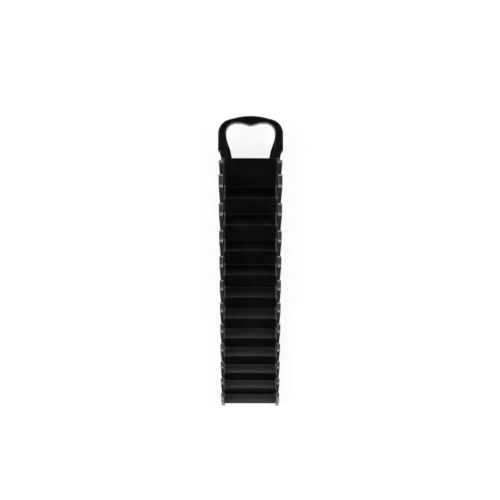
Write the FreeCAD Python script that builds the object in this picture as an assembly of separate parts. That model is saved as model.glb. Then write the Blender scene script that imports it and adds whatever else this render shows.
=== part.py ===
import FreeCAD, Part
import math
import os

# A rack moulded in one piece that carries a graded set of flat wrenches across its width.
# It lies on its back: X runs across it, +Y towards its handle, +Z out of its open front.
# The origin is the middle of its footprint, on the surface that it lies on.
# All sizes are in millimetres, and angles are written in degrees.

Vector = FreeCAD.Vector

# Slots: the first is the widest and lies nearest the handle
SLOT_COUNT = 11
SLOT_TILT = math.radians(40.0)
FIRST_PITCH = 26.9
LAST_PITCH = 14.1
FIRST_SLOT = 8.0
LAST_SLOT = 4.0
SLOT_CORNER = 1.0

# Fingers: what stands in front of each slot, measured along the slot from its floor
FIRST_FINGER = 21.0
LAST_FINGER = 8.5
FIRST_TIP = 2.6
LAST_TIP = 1.2
TIP_ROUND = 0.35
NOSE_ROUND = 3.0

# Side rails, measured across their back edges
LOWER_WIDTH = 54.5
UPPER_WIDTH = 58.3
LOWER_RAIL = 2.4
UPPER_RAIL = 4.5
OUTER_DRAFT = math.radians(3.8)
INNER_DRAFT = math.radians(4.0)
LOWER_END = 10.9
LOWER_ROUND = 12.0
SHOULDER = 2.6
RAIL_DROP = 1.5

# Stepped web between the rails
WEB = 2.2
WEB_SETBACK = 1.0
WEB_LIFT = 0.5
WEB_EDGE = 0.8
WEB_CORNER = 0.6
END_SETBACK = 3.0
END_LEDGE = 7.6
PANEL_RISE = 26.2

# Handle: heights are measured up from the top of the panel, and tapers inwards from the grip's sides
GRIP_WIDTH = 63.0
GRIP_REACH = 43.4
GRIP_SLOPE = 8.0
GRIP_BAR = 8.4
GRIP_CORNER = 14.5
GRIP_CROWN = 60.0
GRIP_BACK = 9.0
GRIP_DEPTH = 12.5
GRIP_ROUND = 1.5
LEG_WIDTH = 7.75
LEG_STEP = 1.2
LEG_STEP_HEIGHT = 7.7
LEG_TAPER = 3.2
LEG_FLARE = 16.0
FLARE_ROUND = 30.0

# Opening of the handle, with a scallop for each of two fingers; tapers are measured from its widest place
FOOT_TAPER = 5.8
WAIST_TAPER = 4.35
OPENING_KNEE = 20.1
SCALLOP_ROUND = 10.0
SCALLOP_EASE = 14.0
BUMP_HALF = 9.0
BUMP_DROP = 2.8
BUMP_ROUND = 9.0
FOOT_ROUND = 1.0
WAIST_ROUND = 10.0
KNEE_ROUND = 30.0

# Gussets between the legs and the panel, set back from the front of the grip
GUSSET_INSET = 0.45
GUSSET_SETBACK = 3.0

# Directions in the side view: up a slot, and square to it towards the front
ALONG = Vector(0, math.cos(SLOT_TILT), math.sin(SLOT_TILT))
FORWARD = Vector(0, -math.sin(SLOT_TILT), math.cos(SLOT_TILT))
SEAT_HEIGHT = (WEB + WEB_SETBACK) * (math.sin(SLOT_TILT) + math.cos(SLOT_TILT)) + WEB_LIFT

# The share of a straight run that the roundings at its two ends may take
RUN_SHARE = 0.98
# The share of the handle's thinnest wall that each of its roundings may take
WALL_SHARE = 0.4
# How far a cutting or joining solid runs past what it cuts or joins
OVERRUN = 5.0
# A length too small to matter
NEARLY = 0.01


def graded(first, last, index, count=SLOT_COUNT):
    """Value at one place in a row that changes evenly from first to last."""
    return first + (last - first) * index / (count - 1)


def seats():
    """Floor corner of each slot, from the handle down, where the back of a wrench's edge rests."""
    pitches = [graded(FIRST_PITCH, LAST_PITCH, i, SLOT_COUNT - 1) for i in range(SLOT_COUNT - 1)]
    heights = [LOWER_END + sum(pitches[i:]) for i in range(SLOT_COUNT)]
    return [Vector(0, y, SEAT_HEIGHT) for y in heights]


def panel_top():
    """Top edge of the panel: the end of the plane on which the first wrench leans."""
    return seats()[0] + ALONG * (PANEL_RISE / ALONG.y)


def rail_top():
    """Where the rails end on that plane, a little short of the panel."""
    return panel_top() - ALONG * (RAIL_DROP / ALONG.y)


def corner_reaches(corners):
    """How far each rounding reaches along its runs; two that would meet share their run."""
    wanted = []
    for i, (point, radius) in enumerate(corners):
        back = corners[i - 1][0] - point
        ahead = corners[(i + 1) % len(corners)][0] - point
        wanted.append(radius / math.tan(back.getAngle(ahead) / 2))
    reaches = list(wanted)
    for i in range(len(corners)):
        run = RUN_SHARE * (corners[i - 1][0] - corners[i][0]).Length
        both = wanted[i] + wanted[i - 1]
        if both > run:
            reaches[i] = min(reaches[i], run * wanted[i] / both)
            reaches[i - 1] = min(reaches[i - 1], run * wanted[i - 1] / both)
    return reaches


def rounded_wire(corners):
    """Closed outline through the corners, each a point with the radius that rounds it."""
    ends = []
    for i, reach in enumerate(corner_reaches(corners)):
        point = corners[i][0]
        back = (corners[i - 1][0] - point).normalize()
        ahead = (corners[(i + 1) % len(corners)][0] - point).normalize()
        half_angle = back.getAngle(ahead) / 2
        depth = reach / math.cos(half_angle) - reach * math.tan(half_angle)
        middle = point
        if reach > 0:
            middle = point + (back + ahead).normalize() * depth
        ends.append((point + back * reach, middle, point + ahead * reach))
    edges = []
    for i, (enter, middle, leave) in enumerate(ends):
        edges.append(Part.LineSegment(ends[i - 1][2], enter).toShape())
        if (leave - enter).Length > 0:
            edges.append(Part.Arc(enter, middle, leave).toShape())
    return Part.Wire(edges)


def prism_across(corners, half_width):
    """Solid with a rounded side-view outline, run across the rack to both sides of its middle."""
    face = Part.Face(rounded_wire(corners))
    solid = face.extrude(Vector(2 * half_width, 0, 0))
    solid.translate(Vector(-half_width, 0, 0))
    return solid


def drafted_block(lower_half, upper_half, draft, bottom, top):
    """Block as long as the body whose sides taper in plan and lean out towards the front."""
    ends = []
    for y, half in ((0, lower_half), (panel_top().y, upper_half)):
        low = half + bottom * math.tan(draft)
        high = half + top * math.tan(draft)
        sides = ((-low, bottom), (low, bottom), (high, top), (-high, top))
        ends.append([Vector(x, y, z) for x, z in sides])
    loops = [ends[0], ends[1]]
    for i in range(4):
        loops.append([ends[0][i], ends[0][i - 1], ends[1][i - 1], ends[1][i]])
    faces = [Part.Face(Part.makePolygon(loop + loop[:1])) for loop in loops]
    return Part.makeSolid(Part.makeShell(faces))


def finger_corners(index):
    """Slot floor, finger tip and nose of one slot, down to the plane of the slot below it."""
    seat = seats()[index]
    slot = graded(FIRST_SLOT, LAST_SLOT, index)
    tip = seat + FORWARD * slot + ALONG * graded(FIRST_FINGER, LAST_FINGER, index)
    nose = tip + FORWARD * graded(FIRST_TIP, LAST_TIP, index)
    corners = [(seat, SLOT_CORNER), (seat + FORWARD * slot, SLOT_CORNER), (tip, TIP_ROUND), (nose, TIP_ROUND)]
    if index + 1 < SLOT_COUNT:
        below = seats()[index + 1]
        mouth = below + ALONG * ((nose.z - below.z) / ALONG.z)
        corners.append((mouth, NOSE_ROUND))
    else:
        corners.append((Vector(0, 0, nose.z), LOWER_ROUND))
    return corners


def rail_outline():
    """Side view of a rail: flat back, and one inclined slot and one finger for each wrench."""
    top = rail_top()
    shoulder = top - ALONG * (SHOULDER * math.tan(SLOT_TILT))
    corners = [(Vector(0, 0, 0), 0), (Vector(0, top.y, 0), 0)]
    corners.append((shoulder - FORWARD * SHOULDER, TIP_ROUND))
    corners.append((shoulder, TIP_ROUND))
    for index in range(SLOT_COUNT):
        corners.extend(finger_corners(index))
    return corners


def side_rails():
    """Both rails, cut from one slotted prism by the drafted outer and inner sides."""
    height = panel_top().z
    outer = drafted_block(LOWER_WIDTH / 2, UPPER_WIDTH / 2, OUTER_DRAFT, 0, height)
    slotted = prism_across(rail_outline(), UPPER_WIDTH)
    return outer.common(slotted).cut(between_rails())


def between_rails():
    """Space between the rails, open at the front and the back."""
    lower_half = LOWER_WIDTH / 2 - LOWER_RAIL
    upper_half = UPPER_WIDTH / 2 - UPPER_RAIL
    return drafted_block(lower_half, upper_half, INNER_DRAFT, -OVERRUN, panel_top().z + OVERRUN)


def web_front():
    """Front of the web in side view, from its lower end wall up to its upper end wall."""
    setback = (ALONG + FORWARD) * WEB_SETBACK
    floor = seats()[-1] - setback
    lip = floor + FORWARD * ((END_LEDGE - floor.z) / FORWARD.z)
    path = [Vector(0, END_SETBACK, WEB_LIFT), Vector(0, END_SETBACK, END_LEDGE), lip]
    for index in range(SLOT_COUNT - 1, -1, -1):
        seat = seats()[index] - setback
        path.append(seat)
        if index > 0:
            pitch = seats()[index - 1].y - seats()[index].y
            path.append(seat + ALONG * (pitch * ALONG.y))
    top_y = panel_top().y
    path.append(seat + ALONG * ((top_y - seat.y) / ALONG.y))
    path.append(Vector(0, top_y, WEB_LIFT))
    return path


def inset_path(path, distance):
    """Path beside an open one, moved to its right by an even distance."""
    normals = []
    for start, end in zip(path, path[1:]):
        run = (end - start).normalize()
        normals.append(Vector(0, run.z, -run.y))
    moved = [path[0] + normals[0] * distance]
    for point, one, other in zip(path[1:-1], normals, normals[1:]):
        moved.append(point + (one + other) * (distance / (1 + one.dot(other))))
    moved.append(path[-1] + normals[-1] * distance)
    return moved


def stepped_web():
    """Sheet of even thickness that steps from slot to slot, closed by a wall at each end."""
    front = web_front()
    back = inset_path(front, WEB)
    corners = [(front[0], 0)]
    corners.extend((point, WEB_EDGE) for point in front[1:-1])
    corners.extend([(front[-1], 0), (back[-1], 0)])
    corners.extend((point, WEB_CORNER) for point in reversed(back[1:-1]))
    corners.append((back[0], 0))
    sheet = prism_across(corners, UPPER_WIDTH)
    lower_half = LOWER_WIDTH / 2 - LOWER_RAIL / 2
    upper_half = UPPER_WIDTH / 2 - UPPER_RAIL / 2
    return sheet.common(drafted_block(lower_half, upper_half, INNER_DRAFT, 0, panel_top().z))


def mirrored(half_corners):
    """Closed outline from its right half, given from the bottom up; the last point is on the axis."""
    left = [(Vector(-point.x, point.y, point.z), radius) for point, radius in reversed(half_corners[:-1])]
    return half_corners + left


def opening_half():
    """Half the width of the handle's opening where it is widest."""
    return GRIP_WIDTH / 2 - LEG_WIDTH


def grip_outline(base_y):
    """Outer outline of the handle in plan, from inside the body up to the crown of the grip."""
    half = GRIP_WIDTH / 2
    step_y = base_y + LEG_STEP_HEIGHT
    return mirrored([
        (Vector(half - LEG_TAPER, base_y - WEB, 0), 0),
        (Vector(half - LEG_TAPER, base_y, 0), 0),
        (Vector(half - LEG_STEP, step_y, 0), 0),
        (Vector(half, step_y, 0), 0),
        (Vector(half, base_y + GRIP_REACH - GRIP_SLOPE, 0), GRIP_CORNER),
        (Vector(0, base_y + GRIP_REACH, 0), GRIP_CROWN),
    ])


def opening_outline(base_y):
    """Outline of the handle's opening in plan: tapered sides and two finger scallops."""
    half = opening_half()
    top_y = base_y + GRIP_REACH - GRIP_BAR
    return mirrored([
        (Vector(half - FOOT_TAPER, base_y, 0), FOOT_ROUND),
        (Vector(half - WAIST_TAPER, base_y + LEG_STEP_HEIGHT, 0), WAIST_ROUND),
        (Vector(half, base_y + OPENING_KNEE, 0), KNEE_ROUND),
        (Vector(half, top_y, 0), SCALLOP_ROUND),
        (Vector(BUMP_HALF, top_y, 0), SCALLOP_EASE),
        (Vector(0, top_y - BUMP_DROP, 0), BUMP_ROUND),
    ])


def handle():
    """Loop handle: a plan outline with its opening, cut to a side view that flares into the body."""
    top = panel_top()
    plan = Part.Face(rounded_wire(grip_outline(top.y)))
    opening = Part.Face(rounded_wire(opening_outline(top.y)))
    block = plan.cut(opening).extrude(Vector(0, 0, top.z))
    flare_y = top.y + LEG_FLARE
    far_y = top.y + GRIP_REACH + OVERRUN
    side = [
        (Vector(0, top.y - WEB, WEB_LIFT), 0),
        (Vector(0, top.y, WEB_LIFT), 0),
        (Vector(0, flare_y, GRIP_BACK), FLARE_ROUND),
        (Vector(0, far_y, GRIP_BACK), 0),
        (Vector(0, far_y, GRIP_BACK + GRIP_DEPTH), 0),
        (Vector(0, flare_y, GRIP_BACK + GRIP_DEPTH), FLARE_ROUND),
        (Vector(0, top.y, top.z - WEB_EDGE), 0),
        (Vector(0, top.y - WEB, top.z - WEB_EDGE - WEB), 0),
    ]
    return block.common(prism_across(side, GRIP_WIDTH))


def grip_edges(body):
    """Long edges of the grip above its step, and those round the opening."""
    base_y = panel_top().y
    edges = []
    for edge in body.Edges:
        middle = edge.valueAt((edge.FirstParameter + edge.LastParameter) / 2)
        lengthwise = edge.BoundBox.YLength > NEARLY
        on_grip = middle.y > base_y + LEG_STEP_HEIGHT
        on_opening = middle.y > base_y + NEARLY and abs(middle.x) < opening_half() + NEARLY
        if lengthwise and (on_grip or on_opening):
            edges.append(edge)
    return edges


def grip_rounding():
    """Radius of the grip's long edges, limited where the handle is thinnest: a leg, or over a scallop."""
    scallop = Vector(opening_half() - SCALLOP_ROUND, GRIP_REACH - GRIP_BAR - SCALLOP_ROUND, 0)
    slope = Vector(GRIP_WIDTH / 2, -GRIP_SLOPE, 0)
    over_scallop = scallop.distanceToLine(Vector(0, GRIP_REACH, 0), slope) - SCALLOP_ROUND
    return min(GRIP_ROUND, WALL_SHARE * LEG_WIDTH, WALL_SHARE * over_scallop)


def gusset_recess():
    """Space in front of both gussets, from the panel up to where the opening is widest."""
    half = opening_half() - GUSSET_INSET
    floor = GRIP_BACK + GRIP_DEPTH - GUSSET_SETBACK
    corner = Vector(-half, panel_top().y, floor)
    return Part.makeBox(2 * half, OPENING_KNEE, panel_top().z + OVERRUN - floor, corner)


def rack():
    """The whole rack, with its grip rounded and the middle of its length on the origin."""
    body = side_rails().fuse([stepped_web(), handle()]).removeSplitter()
    box = body.BoundBox
    body = body.makeFillet(grip_rounding(), grip_edges(body))
    body = body.cut(gusset_recess())
    body.translate(Vector(0, -(box.YMin + box.YMax) / 2, 0))
    return body


os.makedirs("parts", exist_ok=True)
rack().exportStep("parts/wrench_rack.step")
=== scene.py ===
import math

import bpy
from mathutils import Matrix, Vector


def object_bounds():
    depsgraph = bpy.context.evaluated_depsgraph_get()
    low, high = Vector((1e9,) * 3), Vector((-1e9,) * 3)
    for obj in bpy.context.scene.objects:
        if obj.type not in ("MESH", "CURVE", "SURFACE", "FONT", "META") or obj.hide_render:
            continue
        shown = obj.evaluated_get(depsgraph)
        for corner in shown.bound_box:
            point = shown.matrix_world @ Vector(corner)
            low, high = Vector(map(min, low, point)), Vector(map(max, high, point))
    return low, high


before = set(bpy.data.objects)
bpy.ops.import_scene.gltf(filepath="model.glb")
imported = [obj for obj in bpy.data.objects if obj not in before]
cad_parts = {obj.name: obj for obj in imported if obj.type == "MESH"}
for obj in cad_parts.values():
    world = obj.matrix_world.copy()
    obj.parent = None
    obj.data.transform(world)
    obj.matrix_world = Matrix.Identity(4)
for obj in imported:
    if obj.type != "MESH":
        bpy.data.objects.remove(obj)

# The box of the model as the frame holds it
cad_low, cad_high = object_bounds()

MM = 0.001

# The photograph in its own pixels: its side, its middle, and where the rack's axis and lower end are
PHOTO_PIXELS = 500
PHOTO_CENTRE = PHOTO_PIXELS / 2
AXIS_PIXEL = 250.4
LOWER_END_PIXEL = 405.8

# The real size of a pixel at the fingers' noses, and how high the noses and the lower end lie
PIXEL = 0.97 * MM
NOSE_HEIGHT = 18 * MM
LOWER_END_HEIGHT = 4 * MM

# The camera's height, its slight roll, and its sensor's width in millimetres
CAMERA_HEIGHT = 800 * MM
CAMERA_ROLL = math.radians(0.1)
SENSOR = 36.0

# Each lamp's name, place, width, depth and watts, and how bright the room behind them is
LAMPS = (
    ("key", (0.0, 1.2, 0.3), 1.4, 0.5, 13),
    ("left", (-1.1, 0.0, 0.8), 1.4, 0.9, 24),
    ("right", (1.1, 0.0, 0.8), 1.4, 0.9, 20),
    ("low", (0.0, -0.9, 1.2), 1.2, 0.7, 7),
)
ROOM_LIGHT = 0.03
WHITE = (1, 1, 1, 1)

# The floor: its half side, its gap below the rack, its paint, and how much of what shows is plain white
FLOOR_HALF = 30.0
FLOOR_GAP = 0.05 * MM
FLOOR_PAINT = (0.82, 0.82, 0.82, 1)
FLOOR_WHITENESS = 0.85

# Rounding that the edges of the rails and handle, and those of the steps, show in their shading
EDGE_ROUND = 1.6 * MM
STEP_ROUND = 0.5 * MM
BEVEL_SAMPLES = 8

# How far from a finger's front corner its painted highlight reaches
CORNER_REACH = 4 * MM

# Where the rails' inner sides and upper ends are, how far from the lower end a painted highlight reaches,
# and how softly these places begin
RAIL_INNER = 25 * MM
RAIL_TOP = 99 * MM
END_HIGHLIGHT_REACH = 7 * MM
BLUR = 2 * MM

# Which way the treads and the fingers' tips face, and which way the slopes between the fingers face
SLOT_TILT = math.radians(40)
ALONG = (0, math.cos(SLOT_TILT), math.sin(SLOT_TILT))
FORWARD = (0, -math.sin(SLOT_TILT), math.cos(SLOT_TILT))
UP = (0, 0, 1)
SIDEWAYS = (1, 0, 0)
DOWN_THE_RACK = (0, -1, 0)

# Cosines between a face's normal and a direction, from where a mask starts to where it is full
SQUARELY = (0.93, 0.99)
UPWARDS_AT_ALL = (0.2, 0.5)
OFF_THE_SLOPE = (0.99, 0.82)
TURNED_BY_AN_EDGE = (0.998, 0.86)

# The same with the cosine squared, so that both sides count
TO_EITHER_SIDE = (0.7, 0.95)

# How steep the rounded surface is from a finger's nose to its corner, and from there to the slope
NOSE_TO_CORNER = (0.01, 0.22)
CORNER_TO_SLOPE = (0.4, 0.75)

# A mask that comes in over a range, and one that goes out over it
IN = (0, 1)
OUT = (1, 0)

# The polymer's two close blacks, the paler grey where it is rubbed and where highlights are painted, and
# the grey of the painted highlight on the rails' lower ends
BLACK_DEEP = (0.0022, 0.0022, 0.0024, 1)
BLACK_SOFT = (0.004, 0.004, 0.0043, 1)
WORN_AND_LIT_GREY = (0.2, 0.2, 0.203, 1)
END_HIGHLIGHT_GREY = (0.32, 0.32, 0.323, 1)

# How it shines: its refraction, how strong its reflection is, and its range of roughness
REFRACTION = 1.49
REFLECTION = 0.13
SATIN = (0.21, 0.31)

# How strongly a rail's front is paled by wear and painted highlight, where it is flat and at its edges,
# and how strongly the lowest step is paled by painted light
EDGE_WEAR_AND_HIGHLIGHT = (0.14, 0.36)
LOWEST_STEP_LIGHT = 0.13

# What share of the wear and painted highlight is left on slopes, on faces that don't look up, and between
# the patches of rubbing and sheen
SLOPE_SHARE = (0.55, 1)
FRONT_SHARE = (0.04, 1)
PATCH_SHARE = (0.6, 1)

# What share of the painted highlight on the lower ends is on their other faces, and on their sides
SIDE_SHARE = (1, 0.1)

# Patterns: cells to the metre, levels of detail, and how strong the finer ones are
PATCHES = (55, 4, 0.5)
HANDLING = (140, 6, 0.6)
FLOW = (180, 4, 0.5)
WEAR_AND_SHEEN_PATCHES = (260, 5, 0.65)
GRAIN = (2600, 3, 0.55)

# The part of a pattern's range that is used
PATCHES_USED = (0.35, 0.65)
HANDLING_USED = (0.3, 0.7)
WEAR_AND_SHEEN_USED = (0.3, 0.65)

# Relief: how much of it shows, and the depths of the flow marks and the grain
RELIEF_SHOWN = 0.12
FLOW_DEPTH = 0.25 * MM
GRAIN_DEPTH = 0.05 * MM

# Spacing of the nodes when a material is opened
COLUMN_STEP = 220
ROW_STEP = 300


def new_node(tree, kind, inputs=None, **settings):
    """A shader node; each input takes a constant or the output of another node."""
    made = tree.nodes.new(kind)
    for name, value in settings.items():
        setattr(made, name, value)
    for entry, value in (inputs or {}).items():
        if isinstance(value, bpy.types.NodeSocket):
            tree.links.new(value, made.inputs[entry])
        else:
            made.inputs[entry].default_value = value
    return made


def empty_material(name):
    """A material with no nodes but its output."""
    material = bpy.data.materials.new(name)
    material.use_nodes = True
    material.node_tree.nodes.clear()
    output = new_node(material.node_tree, "ShaderNodeOutputMaterial")
    return material, material.node_tree, output


def lay_out(tree):
    """Sets each node in a column by how many nodes lie between it and the output."""
    columns = {node.name: 0 for node in tree.nodes}
    for _ in tree.nodes:
        for link in tree.links:
            before, after = link.from_node.name, link.to_node.name
            columns[before] = max(columns[before], columns[after] + 1)
    filled = {}
    for node in tree.nodes:
        column = columns[node.name]
        row = filled.get(column, 0)
        filled[column] = row + 1
        node.location = (-COLUMN_STEP * column, -ROW_STEP * row)


def noise(tree, coordinates, pattern):
    """Noise in the part's own space."""
    scale, detail, roughness = pattern
    inputs = {"Vector": coordinates, "Scale": scale, "Detail": detail, "Roughness": roughness}
    return new_node(tree, "ShaderNodeTexNoise", inputs).outputs["Fac"]


def spread(tree, value, taken, given):
    """Maps a range of a value onto another range, and stays within it."""
    low, high = taken
    to_low, to_high = given
    inputs = {"Value": value, "From Min": low, "From Max": high, "To Min": to_low, "To Max": to_high}
    return new_node(tree, "ShaderNodeMapRange", inputs).outputs["Result"]


def combine(tree, operation, first, *others):
    """One value from two or more."""
    for other in others:
        first = new_node(tree, "ShaderNodeMath", {0: first, 1: other}, operation=operation).outputs[0]
    return first


def blend(tree, share, first, second):
    """A colour between two."""
    # The node has inputs and an output of the same name for each kind of data: these are a colour's
    inputs = {0: share, 6: first, 7: second}
    return new_node(tree, "ShaderNodeMix", inputs, data_type="RGBA").outputs[2]


def facing(tree, normal, direction):
    """How squarely a face looks along a direction."""
    inputs = {0: normal, 1: direction}
    return new_node(tree, "ShaderNodeVectorMath", inputs, operation="DOT_PRODUCT").outputs["Value"]


def bump(tree, height, distance, normal):
    """Relief of a real depth on top of a normal."""
    inputs = {"Strength": RELIEF_SHOWN, "Distance": distance, "Height": height, "Normal": normal}
    return new_node(tree, "ShaderNodeBump", inputs).outputs["Normal"]


def bevel(tree, radius):
    """The normal with its edges rounded."""
    return new_node(tree, "ShaderNodeBevel", {"Radius": radius}, samples=BEVEL_SAMPLES).outputs["Normal"]


def masks_by_place(tree, coordinates):
    """The rails, the steps between them, the rails' lower ends, and painted light on the steps that grows
    towards the lowest step.
    """
    places = new_node(tree, "ShaderNodeSeparateXYZ", {0: coordinates})
    outwards = new_node(tree, "ShaderNodeMath", {0: places.outputs["X"]}, operation="ABSOLUTE")
    height = places.outputs["Y"]
    inner = (RAIL_INNER - BLUR / 2, RAIL_INNER + BLUR / 2)
    beside = spread(tree, outwards.outputs[0], inner, IN)
    below_handle = spread(tree, height, (RAIL_TOP, RAIL_TOP + BLUR), OUT)
    rails = combine(tree, "MULTIPLY", beside, below_handle)
    steps = combine(tree, "SUBTRACT", below_handle, rails)
    # The rails' lower ends, where a highlight is painted
    end = cad_low.y + END_HIGHLIGHT_REACH
    last = spread(tree, height, (end, end - BLUR), IN)
    ends = combine(tree, "MULTIPLY", last, rails)
    # Painted light on the steps, stronger towards the lower end
    painted_step_light = spread(tree, height, (0, cad_low.y), (0, LOWEST_STEP_LIGHT))
    return rails, steps, ends, painted_step_light


def finger_corners(tree):
    """The fingers' front corners, between their flat noses and the slopes below them, where a painted
    highlight goes.
    """
    broad = bevel(tree, CORNER_REACH)
    steepness = combine(tree, "DIVIDE", facing(tree, broad, DOWN_THE_RACK), facing(tree, broad, UP))
    off_nose = spread(tree, steepness, NOSE_TO_CORNER, IN)
    off_slope = spread(tree, steepness, CORNER_TO_SLOPE, OUT)
    return combine(tree, "MULTIPLY", off_nose, off_slope)


def end_highlight(tree, normal, ends):
    """A painted highlight on the rails' lower ends, and hardly any on their sides."""
    sideways = facing(tree, normal, SIDEWAYS)
    either_side = combine(tree, "MULTIPLY", sideways, sideways)
    off_side = spread(tree, either_side, TO_EITHER_SIDE, SIDE_SHARE)
    return combine(tree, "MULTIPLY", off_side, ends)


def wear_and_highlights(tree, coordinates, rounded, normal, rails, ends, painted_step_light):
    """Wear and painted highlights on the rails' fronts, most at corners and edges, and painted light on
    the steps near the lower end.
    """
    upwards = facing(tree, normal, UP)
    edge = spread(tree, facing(tree, rounded, normal), TURNED_BY_AN_EDGE, EDGE_WEAR_AND_HIGHLIGHT)
    front = spread(tree, upwards, UPWARDS_AT_ALL, FRONT_SHARE)
    slope = spread(tree, facing(tree, normal, FORWARD), OFF_THE_SLOPE, SLOPE_SHARE)
    tread = spread(tree, facing(tree, normal, ALONG), SQUARELY, IN)
    ledge = spread(tree, upwards, SQUARELY, IN)
    patches = spread(tree, noise(tree, coordinates, WEAR_AND_SHEEN_PATCHES), WEAR_AND_SHEEN_USED, PATCH_SHARE)

    # Painted highlights on the rails' edges and up-facing fronts, partly wear
    wear_and_sheen = combine(tree, "MULTIPLY", edge, front, slope)
    # Painted highlights on the fingers' tips, which face along the slots, and on the lower ends
    wear_and_sheen = combine(tree, "MAXIMUM", wear_and_sheen, tread, end_highlight(tree, normal, ends))
    wear_and_sheen = combine(tree, "MULTIPLY", wear_and_sheen, patches)
    # A painted highlight on the fingers' front corners, on faces that look up
    corner = combine(tree, "MULTIPLY", finger_corners(tree), front)
    wear_and_sheen = combine(tree, "MAXIMUM", wear_and_sheen, corner)
    on_rails = combine(tree, "MULTIPLY", wear_and_sheen, rails)

    # Painted light on the treads and the lowest ledge, stronger towards the lower end
    step_faces = combine(tree, "MAXIMUM", tread, ledge)
    on_steps = combine(tree, "MULTIPLY", step_faces, painted_step_light)
    return combine(tree, "MAXIMUM", on_rails, on_steps)


def polymer_colour(tree, coordinates, wear_and_sheen, ends):
    """Two close blacks in large soft patches, paler with wear, painted highlights and painted light."""
    patches = spread(tree, noise(tree, coordinates, PATCHES), PATCHES_USED, IN)
    black = blend(tree, patches, BLACK_DEEP, BLACK_SOFT)
    # The paler greys of wear and painted highlights
    pale = blend(tree, ends, WORN_AND_LIT_GREY, END_HIGHLIGHT_GREY)
    return blend(tree, wear_and_sheen, black, pale)


def polymer_relief(tree, coordinates, rounded):
    """The mould's fine grain over faint flow marks."""
    relief = bump(tree, noise(tree, coordinates, FLOW), FLOW_DEPTH, rounded)
    return bump(tree, noise(tree, coordinates, GRAIN), GRAIN_DEPTH, relief)


def black_polymer():
    """Satin black moulded polymer, with fine grain and faint flow marks, paler where it is rubbed and
    where highlights and light on the steps are painted.
    """
    material, tree, output = empty_material("black_polymer")
    coordinates = new_node(tree, "ShaderNodeTexCoord").outputs["Object"]
    normal = new_node(tree, "ShaderNodeNewGeometry").outputs["Normal"]
    rails, steps, ends, painted_step_light = masks_by_place(tree, coordinates)
    rounded = bevel(tree, spread(tree, steps, IN, (EDGE_ROUND, STEP_ROUND)))
    wear_and_sheen = wear_and_highlights(tree, coordinates, rounded, normal, rails, ends, painted_step_light)
    finish = {
        "Base Color": polymer_colour(tree, coordinates, wear_and_sheen, ends),
        "Roughness": spread(tree, noise(tree, coordinates, HANDLING), HANDLING_USED, SATIN),
        "IOR": REFRACTION,
        "Specular IOR Level": REFLECTION,
        "Normal": polymer_relief(tree, coordinates, rounded),
    }
    shader = new_node(tree, "ShaderNodeBsdfPrincipled", finish)
    tree.links.new(shader.outputs["BSDF"], output.inputs["Surface"])
    lay_out(tree)
    return material


def dress_rack():
    """Gives the moulded rack its finish."""
    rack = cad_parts["wrench_rack"]
    rack.data.materials.clear()
    rack.data.materials.append(black_polymer())


def floor_paint():
    """White where the camera or a reflection sees it, with the object's shadow kept."""
    material, tree, output = empty_material("floor")
    paint = new_node(tree, "ShaderNodeBsdfDiffuse", {"Color": FLOOR_PAINT})
    glow = new_node(tree, "ShaderNodeEmission", {"Color": WHITE})
    rays = new_node(tree, "ShaderNodeLightPath").outputs
    mirrored = (rays["Is Glossy Ray"], rays["Is Transmission Ray"])
    seen = combine(tree, "MAXIMUM", rays["Is Camera Ray"], *mirrored)
    share = spread(tree, seen, IN, (0, FLOOR_WHITENESS))
    mixed = {0: share, 1: paint.outputs["BSDF"], 2: glow.outputs["Emission"]}
    mix = new_node(tree, "ShaderNodeMixShader", mixed)
    tree.links.new(mix.outputs["Shader"], output.inputs["Surface"])
    lay_out(tree)
    return material


def floor():
    """A plain pale floor under the rack."""
    half = FLOOR_HALF
    mesh = bpy.data.meshes.new("floor")
    corners = [(-half, -half, 0), (half, -half, 0), (half, half, 0), (-half, half, 0)]
    mesh.from_pydata(corners, [], [(0, 1, 2, 3)])
    mesh.materials.append(floor_paint())
    plane = bpy.data.objects.new("floor", mesh)
    plane.location.z = -FLOOR_GAP
    bpy.context.scene.collection.objects.link(plane)


def soft_box(name, place, width, depth, watts):
    """A rectangular lamp that faces the middle of the rack, where the origin is."""
    data = bpy.data.lights.new(name, "AREA")
    data.shape = "RECTANGLE"
    data.size = width
    data.size_y = depth
    data.energy = watts
    lamp = bpy.data.objects.new(name, data)
    lamp.location = place
    lamp.rotation_euler = (Vector() - Vector(place)).to_track_quat("-Z", "Y").to_euler()
    bpy.context.scene.collection.objects.link(lamp)


def lights():
    """Plain soft studio light from all four sides, with none overhead, so that flat fronts stay black."""
    for lamp in LAMPS:
        soft_box(*lamp)
    world = bpy.data.worlds.new("world")
    world.use_nodes = True
    background = world.node_tree.nodes["Background"]
    background.inputs["Color"].default_value = WHITE
    background.inputs["Strength"].default_value = ROOM_LIGHT
    bpy.context.scene.world = world


def camera():
    """Looks straight down on the rack, as the photograph looks straight at it."""
    data = bpy.data.cameras.new("camera")
    to_noses = CAMERA_HEIGHT - NOSE_HEIGHT
    to_lower_end = CAMERA_HEIGHT - LOWER_END_HEIGHT
    half_view = PHOTO_CENTRE * PIXEL / to_noses
    data.sensor_width = SENSOR
    data.lens = SENSOR / 2 / half_view
    eye = bpy.data.objects.new("camera", data)
    eye.location.x = (PHOTO_CENTRE - AXIS_PIXEL) * PIXEL
    end_pixel = PIXEL * to_lower_end / to_noses
    eye.location.y = cad_low.y + (LOWER_END_PIXEL - PHOTO_CENTRE) * end_pixel
    eye.location.z = CAMERA_HEIGHT
    eye.rotation_euler.z = CAMERA_ROLL
    bpy.context.scene.collection.objects.link(eye)
    bpy.context.scene.camera = eye


bpy.context.scene.view_settings.view_transform = "Standard"
camera()
dress_rack()
floor()
lights()
